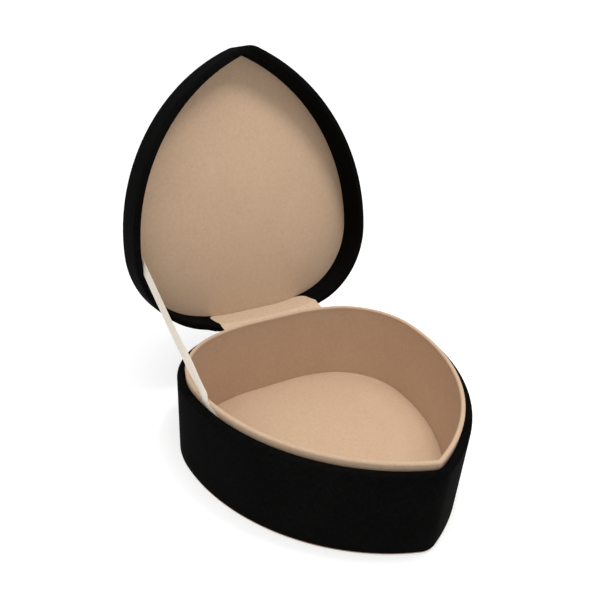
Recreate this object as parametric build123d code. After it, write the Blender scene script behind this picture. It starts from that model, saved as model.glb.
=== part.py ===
from build123d import *
from math import acos, asin, cos, degrees, pi, radians, sin, sqrt, tan
import os

# Velvet-covered keepsake box with a wind-up musical movement. Millimetres, +Z up. The pointed nose
# is towards -Y and the hinge towards +Y; the origin is the middle of the underside.
# The lid is modelled open, with its ribbon stay tight.

# ---- Driving dimensions: the outline, seen from above ----
LENGTH = 180.0            # hinge side to the point where the two flanks would meet
HINGE_HALF = 16.0         # half of the straight stretch at the back
SHOULDER_R = 107.5        # gentle bow from the hinge side
SHOULDER_TURN = 18.4      # degrees
SIDE_R = 54.8             # round lobe
SIDE_TURN = 90.0 - SHOULDER_TURN
FLANK_R = 130.0           # long arc to the nose
NOSE_R = 14.0             # outer rounding of the nose
INNER_NOSE_R = 0.6        # the linings are mitred nearly sharp

# ---- Driving dimensions: heights and thicknesses ----
WALL_TOP = 55.5           # top of the black base wall
LIP = 4.5                 # the lining stands this far above the wall
LID_DEPTH = 20.0          # rim of the lid to its inner panel
LID_HEIGHT = 25.4         # rim of the lid to its outside top
OPEN_ANGLE = 99.5         # degrees, where the ribbon stay comes tight
HINGE_DROP = 3.0          # hinge line below the rim, along the hinge tongue
VELVET = 0.7
FELT = 0.7
CARD = 0.9
BOARD = 3.0               # base wall board
LID_BOARD = 2.4           # lid wall board
STRIP = 0.35              # hinge strip fabric
SHUT_GAP = 0.45           # lid lining to base collar, shut
TURN_IN = 13.0            # how far the velvet turns down inside the base wall

BACK_Y = LENGTH / 2
HINGE_Z = WALL_TOP - HINGE_DROP
LIP_TOP = WALL_TOP + LIP
LID_WALL = VELVET + LID_BOARD + VELVET
COLLAR_INSET = LID_WALL + STRIP + SHUT_GAP
COLLAR_CARD_INSET = COLLAR_INSET + FELT
COLLAR_BACK_INSET = COLLAR_CARD_INSET + CARD
INNER_INSET = COLLAR_BACK_INSET + FELT
LEDGE_INSET = COLLAR_INSET - 0.3
UNDERSIDE = 1.0           # card on the underside, seen as a thin line below the velvet
BASE_BOARD_TOP = 2.4
FLOOR_CARD_TOP = 2.9
FLOOR_TOP = FLOOR_CARD_TOP + FELT
STRIP_HALF = 38.5         # half width of the hinge strip
STRIP_MIDDLE = 2.5        # it sits a little to the right
TONGUE_HALF = 40.0        # half width of the hinge tongue, at the hinge line
TONGUE_SLOPE = 4.0        # how far each end of the tongue flares up to the rim
TONGUE_GAP = 0.5

# ---- Ribbon stay ----
RIBBON_W = 6.0
RIBBON_T = 0.3
RIBBON_HEAD_Y = 31.0      # on the lid's left wall, measured with the lid shut
RIBBON_HEAD_DEPTH = 8.0   # rim to the ribbon's glued end
RIBBON_FOOT_Y = 17.0      # on the base's left wall
RIBBON_HEAD_INSET = 4.65  # the ribbon's middle, inside the lid's outer face
RIBBON_FOOT_INSET = 2.2   # the ribbon's middle, over the ledge outside the collar

# ---- Musical movement: its own frame has the cylinder along X and the bedplate's top at Z = 0 ----
MOVEMENT_X, MOVEMENT_Y, MOVEMENT_TURN = -24.0, -42.5, -40.0
FRAME_TOP = 5.6           # wooden ring under the bedplate
BEDPLATE_T = 1.5
MODULE = 0.35
GREAT_TEETH, PINION_TEETH, WORM_WHEEL_TEETH = 36, 12, 14
CYLINDER_Y, CYLINDER_Z = 6.0, 9.3
TUBE_START, TUBE_LENGTH, TUBE_R = -2.8, 17.4, 5.9
PIN_TIP_R, PIN_R = 6.6, 0.2
NOTES, NOTE_PITCH, FIRST_NOTE = 18, 0.95, -2.2
BARREL_X, BARREL_R = -13.5, 8.5
BARREL_LOW, BARREL_TOP = 0.5, 6.6
SHAFT_R, ARBOR_R, PIVOT_R = 1.25, 0.75, 0.4
RUNNING = 0.06            # radial clearance of a turning shaft
GOVERNOR_Y = -1.9
FLY_X = 18.6
WORM_R, WORM_CORE_R = 1.35, 1.0
KEY_LOW, KEY_HIGH, KEY_REACH = 0.7, 4.9, 8.2      # heights above the underside, and wing reach
KEY_HUB_R, KEY_WING_T, KEY_HOLE_R, KEY_TURN = 2.4, 1.2, 0.9, 30.0
RECESS_X, RECESS_Y, RECESS_R = 22.6, 21.0, 5.0    # size and corners of the key's recess
RECESS_CENTRE = (-11.3, 4.5)
WOOD_HALF_X, WOOD_HALF_Y = 24.0, 16.6             # wooden ring
PLATE_X, PLATE_Y, PLATE_R = 46.4, 31.6, 2.0       # bedplate
COVER_X, COVER_Y, COVER_TOP, COVER_T = 24.3, 16.9, 23.9, 1.2      # card housing, inside half sizes
COVER_FELT = 0.6
PLATE_SCREWS = [(-20.0, -12.5), (19.8, 12.4), (19.8, -12.8)]
COMB_SCREWS = [(0.0, -12.0), (6.0, -12.0), (12.0, -12.0)]
COMB_X, COMB_BACK, COMB_FRONT, COMB_T = (-3.4, 15.0), -15.5, -8.0, 1.2
TOOTH_T, TOOTH_W = 0.5, 0.76
BEARING_T, BEARING_HALF, BEARING_TOP = 1.2, 3.0, 2.2
RISER_X, RISER_TOP = (21.0, 22.4), 16.3           # governor bracket
WHEEL_T = 1.0                                     # great wheel
DRUM_WALL, DRUM_ROOF = 0.7, 0.8                   # spring barrel
VANE_REACH, VANE_T, VANE_LOW, VANE_HIGH = 2.2, 0.3, 10.2, 14.2

GREAT_R = MODULE * GREAT_TEETH / 2
PINION_R = MODULE * PINION_TEETH / 2
WORM_WHEEL_R = MODULE * WORM_WHEEL_TEETH / 2
GEAR_SPAN = GREAT_R + PINION_R
GOVERNOR_Z = CYLINDER_Z - sqrt(GEAR_SPAN ** 2 - (CYLINDER_Y - GOVERNOR_Y) ** 2)
FLY_Y = GOVERNOR_Y - WORM_WHEEL_R - WORM_R
MOVEMENT_Z = FRAME_TOP + BEDPLATE_T
MOVEMENT = Location((MOVEMENT_X, MOVEMENT_Y, MOVEMENT_Z), (0, 0, MOVEMENT_TURN))
ON_TOP = (Align.CENTER, Align.CENTER, Align.MIN)


def save(name, shape):
    """Write one sub-part."""
    export_step(shape, f"parts/{name}.step")


# ---- Outline tools ----

def plan(inset=0.0, nose_r=None):
    """Face of the box's outline, drawn a distance inside the velvet's outer face."""
    nose_r = max(NOSE_R - inset, INNER_NOSE_R) if nose_r is None else nose_r
    back = Line((0, BACK_Y - inset), (HINGE_HALF, BACK_Y - inset))
    shoulder = JernArc(back @ 1, back % 1, SHOULDER_R - inset, -SHOULDER_TURN)
    side = JernArc(shoulder @ 1, shoulder % 1, SIDE_R - inset, -SIDE_TURN)
    centre_x = (side @ 1).X - (FLANK_R - inset)
    flank_turn = 90 - degrees(asin(-centre_x / (FLANK_R - inset)))
    flank = JernArc(side @ 1, side % 1, FLANK_R - inset, -flank_turn)
    half = [back, shoulder, side, flank]
    face = make_face(Curve() + half + [mirror(edge, about=Plane.YZ) for edge in half])
    return fillet(face.vertices().sort_by(Axis.Y)[0], nose_r)


def ring(outer, inner, low, high, inner_nose=None):
    """Wall that follows the outline between two insets."""
    return Pos(0, 0, low) * extrude(plan(outer) - plan(inner, inner_nose), high - low)


def slab(inset, low, high, nose_r=None):
    """Plate that fills the outline."""
    return Pos(0, 0, low) * extrude(plan(inset, nose_r), high - low)


def left_wall(y, inset):
    """X of the left wall at a given Y, on the lobe or on the flank."""
    turn = radians(SHOULDER_TURN)
    lobe_x = HINGE_HALF + (SHOULDER_R - SIDE_R) * sin(turn)
    lobe_y = BACK_Y - SHOULDER_R + (SHOULDER_R - SIDE_R) * cos(turn)
    if y > lobe_y:
        return -(lobe_x + sqrt((SIDE_R - inset) ** 2 - (y - lobe_y) ** 2))
    flank_x = lobe_x + SIDE_R - FLANK_R
    return -(flank_x + sqrt((FLANK_R - inset) ** 2 - (y - lobe_y) ** 2))


def block(x, y, z):
    """Box from three (low, high) pairs."""
    centre = [(low + high) / 2 for low, high in (x, y, z)]
    return Pos(*centre) * Box(*[high - low for low, high in (x, y, z)])


def upright(x, y, low, high, radius):
    """Cylinder along Z."""
    return Pos(x, y, low) * Cylinder(radius, high - low, align=ON_TOP)


def lying(low, high, y, z, radius):
    """Cylinder along X."""
    return Pos(low, y, z) * Rot(0, 90, 0) * Cylinder(radius, high - low, align=ON_TOP)


def tongue(gap, inset_low, inset_high, low, high):
    """Stretch of wall in the hinge zone, with flared ends."""
    half = TONGUE_HALF + gap
    profile = Polygon(
        (-half, low), (half, low), (half + TONGUE_SLOPE, high), (-half - TONGUE_SLOPE, high), align=None
    )
    zone = extrude(Plane.XZ * profile, -LENGTH / 2) & block((-LENGTH, LENGTH), (0, LENGTH), (low, high))
    return zone & ring(inset_low, inset_high, low, high)


def opened(shape):
    """Turn a lid piece, modelled shut, about the hinge line to its open place."""
    return Pos(0, BACK_Y, HINGE_Z) * Rot(-OPEN_ANGLE, 0, 0) * Pos(0, -BACK_Y, -HINGE_Z) * shape


# ---- Base ----

def strip_zone(low, high):
    """Space that the hinge strip may fill, between two heights."""
    return block((STRIP_MIDDLE - STRIP_HALF, STRIP_MIDDLE + STRIP_HALF), (0, BACK_Y), (low, high))


def hinge_notch(gap, depth):
    """Space cut in the base wall for the lid's tongue."""
    return tongue(gap, -1.0, COLLAR_INSET - 0.1, HINGE_Z - depth, WALL_TOP + 1)


def well_cut(low, high):
    """Recess for the winding key, open to the underside."""
    outline = Pos(*RECESS_CENTRE) * RectangleRounded(RECESS_X, RECESS_Y, RECESS_R)
    return MOVEMENT * (Pos(0, 0, low - MOVEMENT_Z) * extrude(outline, high - low))


def housing(x_half, y_half, low, high):
    """Upright box round the movement, from its half sizes and heights above the underside."""
    return MOVEMENT * block((-x_half, x_half), (-y_half, y_half), (low - MOVEMENT_Z, high - MOVEMENT_Z))


def make_base():
    """Case of the base: boards, velvet, collar and floor."""
    board = ring(VELVET, VELVET + BOARD, UNDERSIDE, WALL_TOP - VELVET)
    board -= hinge_notch(TONGUE_GAP + VELVET, VELVET)
    wrapped = ring(0, LEDGE_INSET, UNDERSIDE, WALL_TOP) - hinge_notch(TONGUE_GAP, 0)
    wrapped -= board
    velvet = wrapped - ring(VELVET + BOARD, LEDGE_INSET + 1, UNDERSIDE - 1, WALL_TOP - TURN_IN)
    collar_card = ring(COLLAR_CARD_INSET, COLLAR_BACK_INSET, BASE_BOARD_TOP, LIP_TOP - FELT)
    collar = ring(COLLAR_INSET, INNER_INSET, BASE_BOARD_TOP, LIP_TOP, INNER_NOSE_R)
    top_edges = collar.edges().filter_by_position(Axis.Z, LIP_TOP - 0.01, LIP_TOP + 0.01)
    collar = fillet(top_edges, 0.9)
    collar -= collar_card
    collar -= ring(COLLAR_INSET - 1, COLLAR_CARD_INSET, BASE_BOARD_TOP - 1, WALL_TOP - TURN_IN)
    footprint = housing(COVER_X + COVER_T, COVER_Y + COVER_T, 0, FLOOR_TOP + 1)
    save("wall_board", board)
    save("velvet_wrap", velvet)
    save("collar_card", collar_card)
    save("collar_lining", collar)
    save("underside_card", slab(0.4, 0, UNDERSIDE) - well_cut(-1, UNDERSIDE + 1))
    save("base_board", slab(VELVET + BOARD, UNDERSIDE, BASE_BOARD_TOP) - well_cut(0, FRAME_TOP))
    save("floor_card", slab(INNER_INSET, BASE_BOARD_TOP, FLOOR_CARD_TOP, INNER_NOSE_R) - footprint)
    save("floor_lining", slab(INNER_INSET, FLOOR_CARD_TOP, FLOOR_TOP, INNER_NOSE_R) - footprint)
    lower_leaf = ring(LEDGE_INSET, LEDGE_INSET + 0.25, HINGE_Z - 10, HINGE_Z)
    save("hinge_leaf_lower", lower_leaf & strip_zone(0, WALL_TOP))


# ---- Lid, modelled shut and then opened ----

def make_lid():
    """Lid: boards, velvet inside and out, padded top, inner panel, hinge leaf and ribbon stay."""
    rim = WALL_TOP
    top = rim + LID_HEIGHT
    panel = rim + LID_DEPTH
    wall = ring(VELVET, VELVET + LID_BOARD, rim + VELVET, panel + FELT + CARD)
    wall += tongue(-VELVET, VELVET, VELVET + LID_BOARD, HINGE_Z + VELVET, rim + 2 * VELVET)
    top_board = slab(VELVET, panel + FELT + CARD, top - VELVET - 1.4)
    top_pad = slab(VELVET, top - VELVET - 1.4, top - VELVET)
    cover = slab(0, rim, top)
    cover = fillet(cover.edges().filter_by_position(Axis.Z, top - 0.01, top + 0.01), 0.65)
    cover += tongue(0, 0, LID_WALL, HINGE_Z, rim + VELVET)
    cover -= slab(LID_WALL, HINGE_Z - 1, panel + FELT + CARD, INNER_NOSE_R)
    for inside in (wall, top_board, top_pad):
        cover -= inside
    leaf = ring(LID_WALL, LID_WALL + STRIP, HINGE_Z + 0.4, panel - 0.2)
    leaf &= strip_zone(HINGE_Z, panel)
    save("lid_wall_board", opened(wall))
    save("lid_top_board", opened(top_board))
    save("lid_top_pad", opened(top_pad))
    save("lid_velvet", opened(cover))
    save("lid_panel_card", opened(slab(LID_WALL, panel + FELT, panel + FELT + CARD, INNER_NOSE_R)))
    save("lid_panel_lining", opened(slab(LID_WALL, panel, panel + FELT, INNER_NOSE_R)))
    save("hinge_leaf_upper", opened(leaf))
    save("ribbon_stay", ribbon_stay())


def ribbon_stay():
    """Flat strap, tight between the lid's left wall and the base's left wall."""
    turn = radians(OPEN_ANGLE)
    back = RIBBON_HEAD_Y - BACK_Y
    up = HINGE_DROP + RIBBON_HEAD_DEPTH
    head = Vector(
        left_wall(RIBBON_HEAD_Y, RIBBON_HEAD_INSET),
        BACK_Y + back * cos(turn) + up * sin(turn),
        HINGE_Z - back * sin(turn) + up * cos(turn),
    )
    foot = Vector(left_wall(RIBBON_FOOT_Y, RIBBON_FOOT_INSET), RIBBON_FOOT_Y, WALL_TOP + RIBBON_W / 2)
    run = head - foot
    strap = Plane(origin=foot, x_dir=Vector(1, 0, 0).cross(run), z_dir=run)
    return extrude(strap * Rectangle(RIBBON_W, RIBBON_T), run.length)


# ---- Gears ----

def gear_face(teeth, bore, tooth_at):
    """Involute spur gear, thinned for backlash, with one tooth centred at an angle in degrees."""
    pitch_r = MODULE * teeth / 2
    base_r = pitch_r * cos(radians(20))
    root_r = pitch_r - 1.2 * MODULE
    tip_r = pitch_r + 0.8 * MODULE
    foot_r = max(base_r, root_r)

    def involute(radius):
        angle = acos(min(1.0, base_r / radius))
        return tan(angle) - angle

    half_tooth = 0.42 * pi / teeth
    radii = [foot_r + (tip_r - foot_r) * step / 3 for step in range(4)]
    flank = [(radius, half_tooth + involute(pitch_r) - involute(radius)) for radius in radii]
    flank = [(root_r, flank[0][1])] + flank
    points = []
    for tooth in range(teeth):
        middle = radians(tooth_at) + 2 * pi * tooth / teeth
        rising = [(radius, middle - half) for radius, half in flank]
        falling = [(radius, middle + half) for radius, half in reversed(flank)]
        points += [(radius * cos(angle), radius * sin(angle)) for radius, angle in rising + falling]
    return make_face(Polyline(*points, close=True)) - Circle(bore)


def gear(teeth, low, high, y, z, bore, tooth_at):
    """Spur gear on a shaft along X; angles turn from +Y towards +Z."""
    return Pos(low, y, z) * extrude(Plane.YZ * gear_face(teeth, bore, tooth_at), high - low)


# ---- Movement: fixed pieces ----

def screw(x, y, top, head_r, head_t, shank_r, length):
    """Slotted pan-head screw pointing down, its head's underside at the given height."""
    head = upright(x, y, top, top + head_t, head_r)
    slot = block((x - head_r, x + head_r), (y - 0.2, y + 0.2), (top + head_t * 0.5, top + head_t + 1))
    return head + upright(x, y, top - length, top, shank_r) - slot


def make_movement_frame():
    """Wooden ring, bedplate, bearings, comb and governor bracket."""
    wood = housing(WOOD_HALF_X, WOOD_HALF_Y, BASE_BOARD_TOP, FRAME_TOP) - well_cut(0, FRAME_TOP + 1)
    plate = extrude(Pos(0, -0.4) * RectangleRounded(PLATE_X, PLATE_Y, PLATE_R), -BEDPLATE_T)
    plate -= upright(BARREL_X, CYLINDER_Y, -BEDPLATE_T - 1, 1, SHAFT_R + RUNNING)
    screws = []
    shank_r, shank = 0.9, 4.0
    for x, y in PLATE_SCREWS:
        plate -= upright(x, y, -BEDPLATE_T - 1, 1, shank_r)
        wood -= MOVEMENT * upright(x, y, -shank - 0.1, 0, shank_r)
        screws.append(screw(x, y, 0, 2 * shank_r, 1.0, shank_r, shank))
    posts = []
    for low in (-4.6, TUBE_START + TUBE_LENGTH + 2.3):
        across = (CYLINDER_Y - BEARING_HALF, CYLINDER_Y + BEARING_HALF)
        post = block((low, low + BEARING_T), across, (0, CYLINDER_Z + BEARING_TOP))
        posts.append(post - lying(low - 1, low + 3, CYLINDER_Y, CYLINDER_Z, ARBOR_R + RUNNING))
    comb_low, comb_high = CYLINDER_Z - COMB_T / 2, CYLINDER_Z + COMB_T / 2
    rest = block(COMB_X, (COMB_BACK, COMB_FRONT - 0.2), (0, comb_low))
    comb = block(COMB_X, (COMB_BACK, COMB_FRONT), (comb_low, comb_high))
    tooth_tip = CYLINDER_Y - PIN_TIP_R - 0.25
    tooth_z = (CYLINDER_Z - TOOTH_T / 2, CYLINDER_Z + TOOTH_T / 2)
    for note in range(NOTES):
        x = FIRST_NOTE + note * NOTE_PITCH
        comb += block((x - TOOTH_W / 2, x + TOOTH_W / 2), (COMB_FRONT - 0.1, tooth_tip), tooth_z)
    holders = []
    shank_r, shank = 0.8, 5.5
    for x, y in COMB_SCREWS:
        comb -= upright(x, y, 0, comb_high + 1, shank_r)
        rest -= upright(x, y, comb_high - shank - 0.2, CYLINDER_Z, shank_r)
        holders.append(screw(x, y, comb_high, 1.4, 0.9, shank_r, shank))
    save("movement_frame", wood)
    for name, shape in {
        "bedplate": plate,
        "bedplate_screws": Compound(screws),
        "cylinder_bearings": Compound(posts),
        "comb_rest": rest,
        "comb": comb,
        "comb_screws": Compound(holders),
        "governor_bracket": governor_bracket(),
    }.items():
        save(name, MOVEMENT * shape)


def governor_bracket():
    """Foot, upright and arm that carry the governor wheel and the air brake."""
    riser_in, riser_out = RISER_X
    foot_t, arm_t = 1.0, 1.0
    bracket = block((FLY_X - 3, riser_out), (FLY_Y - 3.8, FLY_Y + 2.3), (0, foot_t))
    bracket += block(RISER_X, (FLY_Y - 2.3, GOVERNOR_Y + 2.2), (0, RISER_TOP))
    bracket += block((FLY_X - 2, riser_out), (FLY_Y - 1.8, FLY_Y + 1.8), (RISER_TOP - arm_t, RISER_TOP))
    bracket += upright(FLY_X, FLY_Y, foot_t, 2.2, 1.3)
    bracket -= lying(riser_in - 1, riser_out + 1, GOVERNOR_Y, GOVERNOR_Z, ARBOR_R + RUNNING)
    bracket -= upright(FLY_X, FLY_Y, 1.2, 2.3, PIVOT_R + RUNNING)
    bracket -= upright(FLY_X, FLY_Y, RISER_TOP - arm_t - 0.3, RISER_TOP + 1, PIVOT_R + RUNNING)
    return bracket


def make_cover():
    """Lined card housing over the movement."""
    card = housing(COVER_X + COVER_T, COVER_Y + COVER_T, BASE_BOARD_TOP, COVER_TOP + COVER_T)
    card -= housing(COVER_X, COVER_Y, 0, COVER_TOP)
    skin = COVER_T + COVER_FELT
    lining = housing(COVER_X + skin, COVER_Y + skin, FLOOR_TOP, COVER_TOP + skin)
    lining = fillet(lining.faces().sort_by(Axis.Z)[-1].edges(), 0.5)
    lining -= housing(COVER_X + COVER_T, COVER_Y + COVER_T, 0, COVER_TOP + COVER_T)
    save("movement_housing", card)
    save("housing_lining", lining)


# ---- Movement: turning pieces ----

def make_winding():
    """Winding shaft and its wing key, in the recess of the underside."""
    shaft = upright(BARREL_X, CYLINDER_Y, KEY_LOW + 0.4 - MOVEMENT_Z, BARREL_TOP + 0.3, SHAFT_R)
    low, high = KEY_LOW - MOVEMENT_Z, KEY_HIGH - MOVEMENT_Z
    key = upright(0, 0, low, high, KEY_HUB_R)
    wing = block((KEY_HUB_R - 0.9, KEY_REACH), (-KEY_WING_T / 2, KEY_WING_T / 2), (low, high))
    wing = fillet(wing.edges().filter_by(Axis.Y).group_by(Axis.X)[-1], 1.6)
    wing -= Pos(KEY_REACH * 0.62, 0, (low + high) / 2) * Rot(90, 0, 0) * Cylinder(KEY_HOLE_R, 4)
    key += wing + Rot(0, 0, 180) * wing
    key = Pos(BARREL_X, CYLINDER_Y, 0) * Rot(0, 0, KEY_TURN) * key - shaft
    save("winding_shaft", MOVEMENT * shaft)
    save("winding_key", MOVEMENT * key)


def make_barrel():
    """Spring barrel with a crown of teeth on top, its cap, and the coiled mainspring."""
    here = Pos(BARREL_X, CYLINDER_Y, 0)
    drum = upright(0, 0, BARREL_LOW, BARREL_TOP, BARREL_R)
    drum -= upright(0, 0, BARREL_LOW - 1, BARREL_TOP - DRUM_ROOF, BARREL_R - DRUM_WALL)
    pitch_z = CYLINDER_Z - PINION_R
    tooth = Polygon((-0.31, BARREL_TOP - 0.05), (0.31, BARREL_TOP - 0.05), (0.12, pitch_z + 0.25),
                    (-0.12, pitch_z + 0.25), align=None)
    tooth = extrude(Plane.YZ * tooth, 0.9)
    for step in range(GREAT_TEETH):
        drum += Rot(0, 0, 360 * step / GREAT_TEETH) * Pos(GREAT_R - 0.45, 0, 0) * tooth
    drum -= upright(0, 0, 0, 12, SHAFT_R + RUNNING)
    cap = upright(0, 0, BARREL_LOW, BARREL_LOW + 0.6, BARREL_R - DRUM_WALL)
    cap -= upright(0, 0, 0, 12, SHAFT_R + RUNNING)
    save("spring_barrel", MOVEMENT * here * drum)
    save("barrel_cap", MOVEMENT * here * cap)
    save("mainspring", MOVEMENT * here * mainspring(BARREL_R - DRUM_WALL))


def mainspring(drum_r):
    """Flat spiral spring, from just off the shaft to the barrel's wall."""
    turns, per_turn, thick = 7, 24, 0.25
    first_r, last_r = SHAFT_R + 0.35, drum_r - thick - 0.05
    inner, outer = [], []
    for step in range(turns * per_turn + 1):
        angle = 2 * pi * step / per_turn
        radius = first_r + (last_r - first_r) * step / (turns * per_turn)
        inner.append((radius * cos(angle), radius * sin(angle)))
        outer.append(((radius + thick) * cos(angle), (radius + thick) * sin(angle)))
    coil = make_face(Polyline(*(inner + outer[::-1]), close=True))
    return Pos(0, 0, BARREL_LOW + 0.8) * extrude(coil, BARREL_TOP - BARREL_LOW - 1.8)


def make_cylinder():
    """Pinned cylinder, its arbor with the crown pinion, and the great wheel."""
    end = TUBE_START + TUBE_LENGTH
    tube_bore = TUBE_R - 0.8
    tube = lying(TUBE_START, end, CYLINDER_Y, CYLINDER_Z, TUBE_R)
    tube -= lying(TUBE_START - 1, end + 1, CYLINDER_Y, CYLINDER_Z, tube_bore)
    spoke = Pos(0, 0, TUBE_R - 0.3) * Cylinder(PIN_R, PIN_TIP_R - TUBE_R + 0.3, align=ON_TOP)
    pins = []
    for note in range(NOTES):
        for beat in range(4):
            angle = (47 * note + 90 * beat + 13 * beat * (note % 3) + 20) % 360
            x = FIRST_NOTE + note * NOTE_PITCH
            pins.append(Pos(x, CYLINDER_Y, CYLINDER_Z) * Rot(angle, 0, 0) * spoke)
    arbor_end = end + 4.0
    arbor = lying(BARREL_X + GREAT_R - 1.2, arbor_end, CYLINDER_Y, CYLINDER_Z, ARBOR_R)
    for low in (TUBE_START, end - 0.8):
        arbor += lying(low, low + 0.8, CYLINDER_Y, CYLINDER_Z, tube_bore)
    pinion_low = BARREL_X + GREAT_R - 0.4
    space_down = 270 + 180 / PINION_TEETH
    arbor += gear(PINION_TEETH, pinion_low, pinion_low + 0.8, CYLINDER_Y, CYLINDER_Z, 0.3, space_down)
    toward = degrees(acos((GOVERNOR_Y - CYLINDER_Y) / GEAR_SPAN))
    great = gear(GREAT_TEETH, end + 0.5, end + 0.5 + WHEEL_T, CYLINDER_Y, CYLINDER_Z, ARBOR_R, -toward)
    save("pinned_cylinder", MOVEMENT * (tube + pins))
    save("cylinder_arbor", MOVEMENT * arbor)
    save("great_wheel", MOVEMENT * great)


def make_governor():
    """Governor wheel, and the worm that spins the air brake's two vanes."""
    end = TUBE_START + TUBE_LENGTH
    toward = degrees(acos((CYLINDER_Y - GOVERNOR_Y) / GEAR_SPAN))
    wheel = lying(end + 0.3, RISER_X[1], GOVERNOR_Y, GOVERNOR_Z, ARBOR_R)
    space_to_great = toward + 180 / PINION_TEETH
    wheel += gear(PINION_TEETH, end + 0.4, end + 1.6, GOVERNOR_Y, GOVERNOR_Z, 0.3, space_to_great)
    wheel += gear(WORM_WHEEL_TEETH, FLY_X - 0.35, FLY_X + 0.35, GOVERNOR_Y, GOVERNOR_Z, 0.3, 180)
    save("governor_wheel", MOVEMENT * wheel)
    fly = upright(FLY_X, FLY_Y, 1.3, 16.1, PIVOT_R)
    fly += upright(FLY_X, FLY_Y, 2.4, 9.6, WORM_CORE_R)
    fly += upright(FLY_X, FLY_Y, 9.6, 14.6, 0.7)
    fly += worm_thread()
    across = (FLY_X - VANE_REACH, FLY_X + VANE_REACH)
    vane = block(across, (FLY_Y - VANE_T / 2, FLY_Y + VANE_T / 2), (VANE_LOW, VANE_HIGH))
    save("air_brake", MOVEMENT * (fly + vane))


def worm_thread():
    """One-start thread with a gap level with the worm wheel's tooth, on the wheel's side."""
    pitch = pi * MODULE
    turns = 5
    quarter_turn = 0.25       # the wheel is a quarter turn on from the helix's start
    start = GOVERNOR_Z + pitch * (0.5 - quarter_turn) - pitch * 3
    path = Pos(FLY_X, FLY_Y, start) * Helix(pitch, pitch * turns, WORM_CORE_R)
    root, tip, deep, tall = 0.24, 0.09, 0.1, WORM_R + 0.8 * MODULE - WORM_CORE_R
    section = Polygon((-deep, -root), (tall, -tip), (tall, tip), (-deep, root), align=None)
    section = Plane(origin=path @ 0, x_dir=(1, 0, 0), z_dir=path % 0) * section
    return sweep(section, path=path, is_frenet=True)


def main():
    os.makedirs("parts", exist_ok=True)
    make_base()
    make_lid()
    make_movement_frame()
    make_cover()
    make_winding()
    make_barrel()
    make_cylinder()
    make_governor()


main()
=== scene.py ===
"""Velvet keepsake box with a hidden wind-up movement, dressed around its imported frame.

The driving fields are in millimetres. Every mesh is in metres and keeps its place in itself.
The lid's pieces are modelled shut and then turned open about the hinge line.
"""

import logging
from dataclasses import dataclass, field
from enum import Enum
from math import atan2, cos, pi, radians, sin, sqrt
from typing import Callable, Sequence

import bpy
from mathutils import Matrix, Vector


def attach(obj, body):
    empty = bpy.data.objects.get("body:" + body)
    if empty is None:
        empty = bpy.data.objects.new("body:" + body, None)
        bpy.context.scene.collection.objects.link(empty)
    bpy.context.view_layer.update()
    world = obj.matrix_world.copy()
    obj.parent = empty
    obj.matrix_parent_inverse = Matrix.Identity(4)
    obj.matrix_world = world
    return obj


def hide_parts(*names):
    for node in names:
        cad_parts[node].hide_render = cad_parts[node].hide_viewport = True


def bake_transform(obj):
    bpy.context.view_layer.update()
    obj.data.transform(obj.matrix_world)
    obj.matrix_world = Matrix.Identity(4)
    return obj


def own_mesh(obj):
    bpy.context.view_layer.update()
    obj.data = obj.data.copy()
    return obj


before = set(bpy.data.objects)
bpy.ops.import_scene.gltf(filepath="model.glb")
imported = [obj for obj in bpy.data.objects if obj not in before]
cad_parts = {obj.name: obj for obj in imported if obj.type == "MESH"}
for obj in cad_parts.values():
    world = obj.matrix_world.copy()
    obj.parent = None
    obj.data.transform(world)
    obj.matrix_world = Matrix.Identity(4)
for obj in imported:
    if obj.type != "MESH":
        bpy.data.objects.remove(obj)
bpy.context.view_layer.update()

MM = 0.001
log = logging.getLogger("keepsake_box")

Point = tuple[float, float]
Section = list[Point]
Test = Callable[[Vector], bool]
Socket = bpy.types.NodeSocket
Piece = bpy.types.Object


# ---- The shared sizes ----

@dataclass(frozen=True)
class Turn:
    """One arc of the outline.

    Args:
        centre: Middle of the arc, seen from above.
        angle: How far the outline turns, in radians.
        steps: Number of stations on the arc.
    """

    centre: Point
    angle: float
    steps: int


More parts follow.
